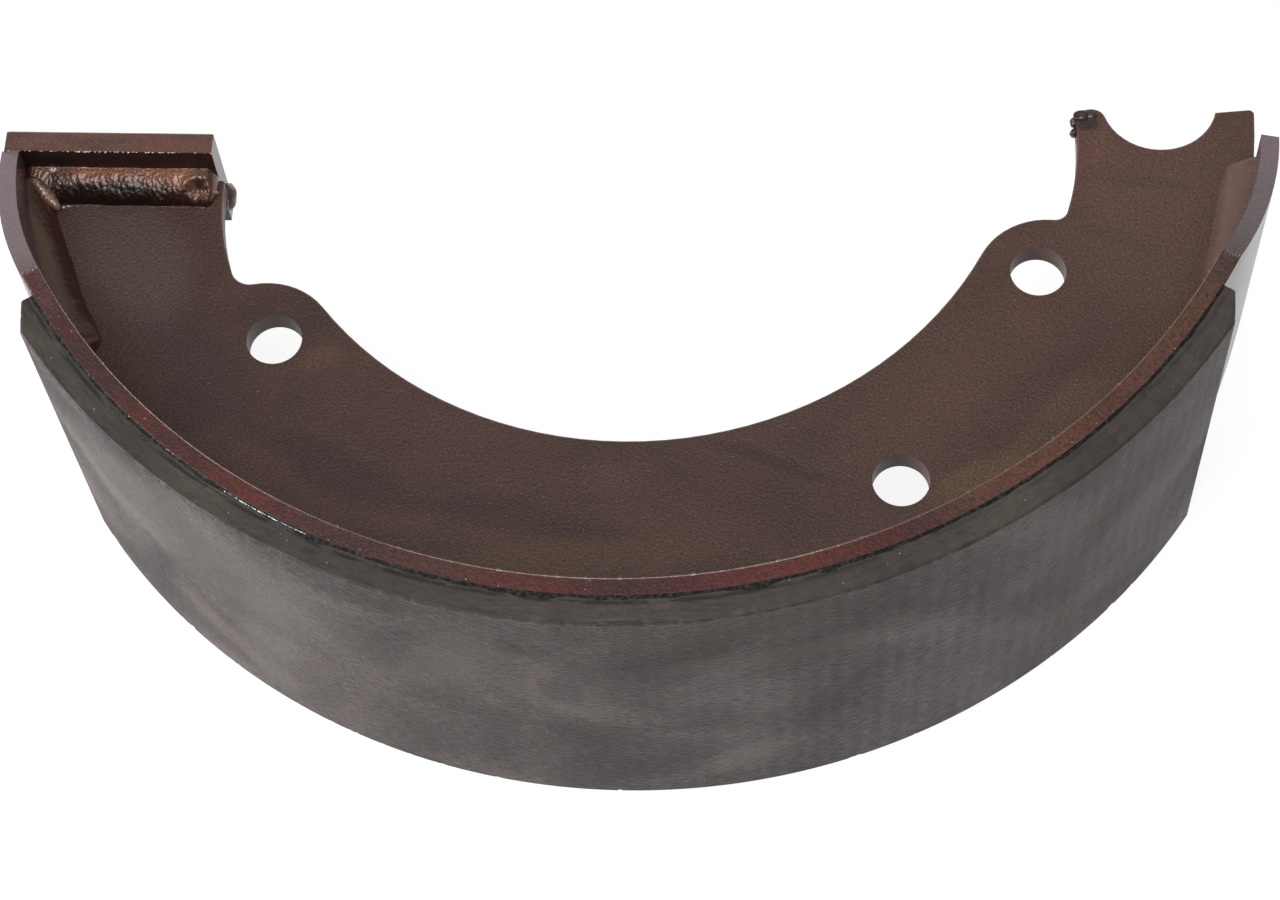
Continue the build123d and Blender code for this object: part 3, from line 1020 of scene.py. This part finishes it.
def friction_compound(name, shades, streaks, smudge, texture, marks=()):
    """Resin-bound compound: dark, dull, streaked round the drum, with pale fibre ends and pits. streaks,
    smudge and texture say how strong the streaks, the dirt and the relief are."""
    material, tree, shader, places = new_material(name)
    place = places["Object"]
    axes = add(tree, "SeparateXYZ", inputs={0: place})
    turn = add(tree, "Math", {"operation": "ARCTAN2"}, {0: axes.outputs["Y"], 1: axes.outputs["X"]})
    radians_to_length = {0: turn.outputs[0], 1: drum_radius * MM}
    round_drum = add(tree, "Math", {"operation": "MULTIPLY"}, radians_to_length)
    # Distance round the drum, then height on the face and radius on the sides, so that the streaks
    # follow the grinding.
    plan = add(tree, "VectorMath", {"operation": "MULTIPLY"}, {0: place, 1: (1, 1, 0)})
    radius = add(tree, "VectorMath", {"operation": "LENGTH"}, {0: plan.outputs[0]})
    beyond = add(tree, "Math", {"operation": "SUBTRACT"}, {0: radius.outputs["Value"], 1: drum_radius * MM})
    across = add(tree, "Math", {"operation": "ADD"}, {0: axes.outputs["Z"], 1: beyond.outputs[0]})
    flat = add(tree, "CombineXYZ", inputs={"X": round_drum.outputs[0], "Y": across.outputs[0]})
    long = add(tree, "Mapping", inputs={"Vector": flat.outputs[0], "Scale": (0.3, 1.0, 1.0)})
    dashes = add(
        tree,
        "TexNoise",
        inputs={
            "Vector": long.outputs[0],
            "Scale": 1 / (STREAK_PITCH * MM),
            "Detail": 3.0,
            "Roughness": 0.6,
        },
    )
    soft = add(tree, "Mapping", inputs={"Vector": flat.outputs[0], "Scale": (0.7, 0.8, 1.0)})
    haze = add(
        tree,
        "TexNoise",
        inputs={"Vector": soft.outputs[0], "Scale": 1 / (HAZE * MM), "Detail": 3.0, "Distortion": 0.5},
    )
    dash_part = add(
        tree, "Math", {"operation": "MULTIPLY_ADD"}, {0: dashes.outputs[0], 1: streaks, 2: -streaks / 2}
    )
    cycles = add(
        tree, "Math", {"operation": "MULTIPLY"}, {0: round_drum.outputs[0], 1: 2 * pi / (CHATTER * MM)}
    )
    wave = add(tree, "Math", {"operation": "SINE"}, {0: cycles.outputs[0]})
    anchor_half = add(tree, "MapRange", inputs={0: axes.outputs["X"], 1: -0.03, 2: 0.03, 3: 0.0, 4: 0.03})
    chatter = add(tree, "Math", {"operation": "MULTIPLY"}, {0: wave.outputs[0], 1: anchor_half.outputs[0]})
    streaked = add(tree, "Math", {"operation": "ADD"}, {0: haze.outputs[0], 1: dash_part.outputs[0]})
    level = add(tree, "Math", {"operation": "ADD"}, {0: streaked.outputs[0], 1: chatter.outputs[0]})
    body = add(tree, "ValToRGB", inputs={"Fac": level.outputs[0]}, stops=shades)
    marked = patches(tree, flat.outputs[0], body.outputs["Color"], marks)
    fibres = spots(tree, place, FIBRE_PITCH, 0.06, 0.14)
    chips = add(tree, "Mix", COLOURS, {0: fibres, 6: marked, 7: linear("#8a8582")})
    pits = spots(tree, place, PIT_PITCH, 0.06, 0.12)
    pitted = add(tree, "Mix", COLOURS, {0: pits, 6: chips.outputs[2], 7: linear("#131211")})
    wide = add(tree, "Mapping", inputs={"Vector": flat.outputs[0], "Scale": (0.28, 1.0, 1.0)})
    stain = add(
        tree,
        "TexNoise",
        inputs={"Vector": wide.outputs[0], "Scale": 1 / (STAIN * MM), "Detail": 5.0, "Roughness": 0.65},
    )
    stained = add(tree, "MapRange", inputs={0: stain.outputs[0], 1: 0.53, 2: 0.66, 3: 0.0, 4: smudge})
    sooty = add(tree, "Mix", COLOURS, {0: stained.outputs[0], 6: pitted.outputs[2], 7: linear("#1c1b19")})
    # Broken black marks beside the joint, partly smears of adhesive and partly painted shadow along the
    # crust's edge, and a darker line along the ground arris.
    ragged = add(tree, "MapRange", inputs={0: stain.outputs[0], 1: 0.4, 2: 0.47})
    off_smear_and_shadow = add(
        tree,
        "Math",
        {"operation": "SUBTRACT"},
        {0: radius.outputs["Value"], 1: (lining_inner + SMEAR_AND_SHADOW_PLACE) * MM},
    )
    from_smear_and_shadow = add(tree, "Math", {"operation": "ABSOLUTE"}, {0: off_smear_and_shadow.outputs[0]})
    near_smear_and_shadow = {0: from_smear_and_shadow.outputs[0], 1: 0.65 * MM, 2: 0.2 * MM, 4: 0.85}
    smear_and_shadow = add(tree, "MapRange", inputs=near_smear_and_shadow)
    arris = add(
        tree,
        "MapRange",
        inputs={0: beyond.outputs[0], 1: -1.0 * MM, 2: -0.45 * MM, 4: 0.6 if smudge else 0.0},
    )
    fading = {0: axes.outputs["X"], 1: 0.0, 2: 0.06, 3: 1.0, 4: 0.3}
    cam_half = add(tree, "MapRange", inputs=fading)
    both = add(tree, "Math", {"operation": "MAXIMUM"}, {0: smear_and_shadow.outputs[0], 1: arris.outputs[0]})
    darkened = add(tree, "Math", {"operation": "MULTIPLY"}, {0: both.outputs[0], 1: cam_half.outputs[0]})
    broken = add(tree, "Math", {"operation": "MULTIPLY"}, {0: darkened.outputs[0], 1: ragged.outputs[0]})
    final = add(tree, "Mix", COLOURS, {0: broken.outputs[0], 6: sooty.outputs[2], 7: linear("#0e0f0f")})
    grain = add(tree, "TexNoise", inputs={"Vector": place, "Scale": 1 / (0.7 * MM), "Detail": 3.0})
    heights = add(tree, "Math", {"operation": "ADD"}, {0: grain.outputs[0], 1: dashes.outputs[0]})
    relief = add(
        tree, "Bump", inputs={"Strength": texture, "Distance": 0.4 * MM, "Height": heights.outputs[0]}
    )
    sheen = add(tree, "MapRange", inputs={0: level.outputs[0], 1: 0.3, 2: 0.7, 3: 0.62, 4: 0.47})
    tree.links.new(final.outputs[2], shader.inputs["Base Color"])
    tree.links.new(relief.outputs[0], shader.inputs["Normal"])
    tree.links.new(sheen.outputs[0], shader.inputs["Roughness"])
    shader.inputs["IOR"].default_value = 1.5
    shader.inputs["Specular IOR Level"].default_value = 0.32
    return material


# To the eye the ground face is a dark, dull grey, hazy, with fine streaks round the drum.
ground_face = friction_compound(
    "ground friction compound",
    [(0.3, "#211a18"), (0.5, "#342b29"), (0.7, "#4a403e")],
    streaks=0.85,
    smudge=0.0,
    texture=0.9,
    marks=FACE_MARKS,
)
# The moulded sides are darker, smoother and a little olive, with black marks beside the joint that
# are partly smears and partly painted shadow.
moulded_side = friction_compound(
    "moulded friction compound",
    [(0.3, "#2c2723"), (0.5, "#38322d"), (0.7, "#463f38")],
    streaks=0.4,
    smudge=0.6,
    texture=0.22,
)


def denser_ends(count, edge):
    """Shares from 0 to 1 that lie closer together near both ends: edge sets how much."""
    shares = [i / count for i in range(count + 1)]
    return [s - edge * sin(2 * pi * s) / (2 * pi) for s in shares]


def lining_ring(along):
    """The lining's section as a ring of points at one place along its ground face."""
    angle = LINING_CAM_END + degrees(along / drum_radius)
    to_end = min(along, face_length - along)
    outer = drum_radius - LEAD_DEPTH * max(0.0, 1 - to_end / LEAD_LENGTH)
    thick = outer - lining_inner
    low, high = SIDE_SET, shoe_width - SIDE_SET
    worn = 0.5 + exp(-(((angle - CHIPPED_ARC[0]) / CHIPPED_ARC[1]) ** 2))
    outline = [(outer, low + (high - low) * s, "face") for s in denser_ends(FACE_STEPS, 0.85)]
    outline += [(outer - thick * s, high, "upper") for s in denser_ends(18, 0.4)[1:]]
    outline += [(lining_inner, high + (low - high) * s, "bond") for s in (0.25, 0.5, 0.75, 1.0)]
    outline += [(lining_inner + thick * s, low, "lower") for s in denser_ends(12, 0.4)[1:-1]]
    ring = []
    for radius, height, side in outline:
        upper = height > shoe_width / 2
        from_arris = outer - radius + min(height - low, high - height)
        rounded = EDGE_ROUND * max(0.0, 1 - from_arris / (2 * EDGE_ROUND))
        seed = 70 if upper else 76
        broken = sample(seed, along / 2.6) + 0.6 * sample(seed + 1, along / 0.9)
        chip = 0.8 * worn * max(0.0, broken - 0.45) * exp(-((from_arris / 1.0) ** 2))
        inward, sunk = rounded + chip, rounded + chip
        if side == "bond":
            inward, sunk = 0.0, 0.0
        elif side == "face":
            inward += 0.9 * max(0.0, sample(74, along / 1.3, height / 1.1) - 0.62)
            sunk = sunk if from_arris < 3 else 0.0
        else:
            scar = sample(seed + 2, along / 5, radius / 0.9)
            scar += 0.5 * sample(seed + 3, along / 1.5, radius / 0.6)
            sunk += 0.3 * worn * max(0.0, scar - 0.2) * min(1.0, (radius - lining_inner) / 0.6)
            inward = inward if from_arris < 3 else 0.0
        level = height - sunk if upper else height + sunk
        ring.append(polar(max(radius - inward, lining_inner), angle, level))
    return ring


face_steps = ceil(face_length / LINING_STEP)
lining = grid_piece(
    "lining_block",
    [lining_ring(face_length * i / face_steps) for i in range(face_steps + 1)],
    ground_face,
    sharp=50,
    replaces=["friction_lining"],
)
lining.data.materials.append(moulded_side)
# After its two end caps, the piece has one face for each step of the outline, ring by ring.
outline_steps = (len(lining.data.polygons) - 2) // face_steps
for face in lining.data.polygons:
    step = (face.index - 2) % outline_steps
    face.material_index = 0 if face.index < 2 or step < FACE_STEPS else 1


# ---- Floor, lamps and camera ----------------------------------------------------------------------
# A white studio floor, one large lamp overhead and one at the left. The white surroundings light the
# object at about half strength, so that the dark lacquer keeps its brown.
FLOOR_SIZE = 6.0
FLOOR_WHITE = 0.76
FLOOR_GLOW = 1.12
WORLD_LIGHT = 0.55
FOCAL_PIXELS = 3128.85
FRAME_WIDTH = 1280
CAMERA_PITCH = 62.46
CAMERA_YAW = 1.02
CAMERA_ROLL = -5.53
CAMERA_PLACE = (0.0, -402.16, 647.3)

half = FLOOR_SIZE / 2
floor_mesh = bpy.data.meshes.new("studio_floor")
corners = [(-half, -half, 0), (half, -half, 0), (half, half, 0), (-half, half, 0)]
floor_mesh.from_pydata(corners, [], [(0, 1, 2, 3)])
floor = bpy.data.objects.new("studio_floor", floor_mesh)
bpy.context.scene.collection.objects.link(floor)
floor_paint, tree, shader, places = new_material("white studio paint")
shader.inputs["Base Color"].default_value = linear("#ececec")
shader.inputs["Roughness"].default_value = 0.9
# To the eye it is matt white. Seen or mirrored, it is mostly plain white, and the rest of its light
# still shows the shadow.
white = add(tree, "Emission", inputs={"Color": (1, 1, 1, 1), "Strength": FLOOR_GLOW})
rays = add(tree, "LightPath")
seen = add(
    tree,
    "Math",
    {"operation": "MAXIMUM"},
    {0: rays.outputs["Is Camera Ray"], 1: rays.outputs["Is Glossy Ray"]},
)
whiteness = add(tree, "Math", {"operation": "MULTIPLY"}, {0: seen.outputs[0], 1: FLOOR_WHITE})
either = add(tree, "MixShader", inputs={0: whiteness.outputs[0], 1: shader.outputs[0], 2: white.outputs[0]})
tree.links.new(either.outputs[0], tree.nodes["Material Output"].inputs["Surface"])
floor_mesh.materials.append(floor_paint)

world = bpy.data.worlds.new("studio")
bpy.context.scene.world = world
world.use_nodes = True
tree = world.node_tree
rays = add(tree, "LightPath")
glow = add(
    tree,
    "Math",
    {"operation": "MULTIPLY_ADD"},
    {0: rays.outputs["Is Camera Ray"], 1: 1 - WORLD_LIGHT, 2: WORLD_LIGHT},
)
tree.nodes["Background"].inputs["Color"].default_value = (1, 1, 1, 1)
tree.links.new(glow.outputs[0], tree.nodes["Background"].inputs["Strength"])


def softbox(name, place, aim, width, height, power):
    """An area lamp at a place in metres, pointed at a spot."""
    lamp = bpy.data.lights.new(name, "AREA")
    lamp.shape = "RECTANGLE"
    lamp.size, lamp.size_y, lamp.energy = width, height, power
    shown = bpy.data.objects.new(name, lamp)
    shown.location = place
    shown.rotation_euler = (Vector(aim) - Vector(place)).to_track_quat("-Z", "Y").to_euler()
    bpy.context.scene.collection.objects.link(shown)


softbox("overhead_softbox", (-0.12, -0.48, 1.22), (0, -0.05, 0.03), 0.6, 0.5, 9.0)
softbox("left_softbox", (-1.2, -0.35, 0.42), (0, -0.05, 0.05), 0.7, 0.7, 22.0)

camera_data = bpy.data.cameras.new("camera")
camera_data.sensor_width = 36.0
camera_data.lens = FOCAL_PIXELS / FRAME_WIDTH * camera_data.sensor_width
camera = bpy.data.objects.new("camera", camera_data)
turn = Matrix.Rotation(radians(CAMERA_YAW), 4, "Z") @ Matrix.Rotation(radians(90 - CAMERA_PITCH), 4, "X")
roll = Matrix.Rotation(radians(CAMERA_ROLL), 4, "Z")
camera.matrix_world = Matrix.Translation([v * MM for v in CAMERA_PLACE]) @ turn @ roll
bpy.context.scene.collection.objects.link(camera)
bpy.context.scene.camera = camera
bpy.context.scene.view_settings.view_transform = "Standard"

bpy.context.view_layer.update()
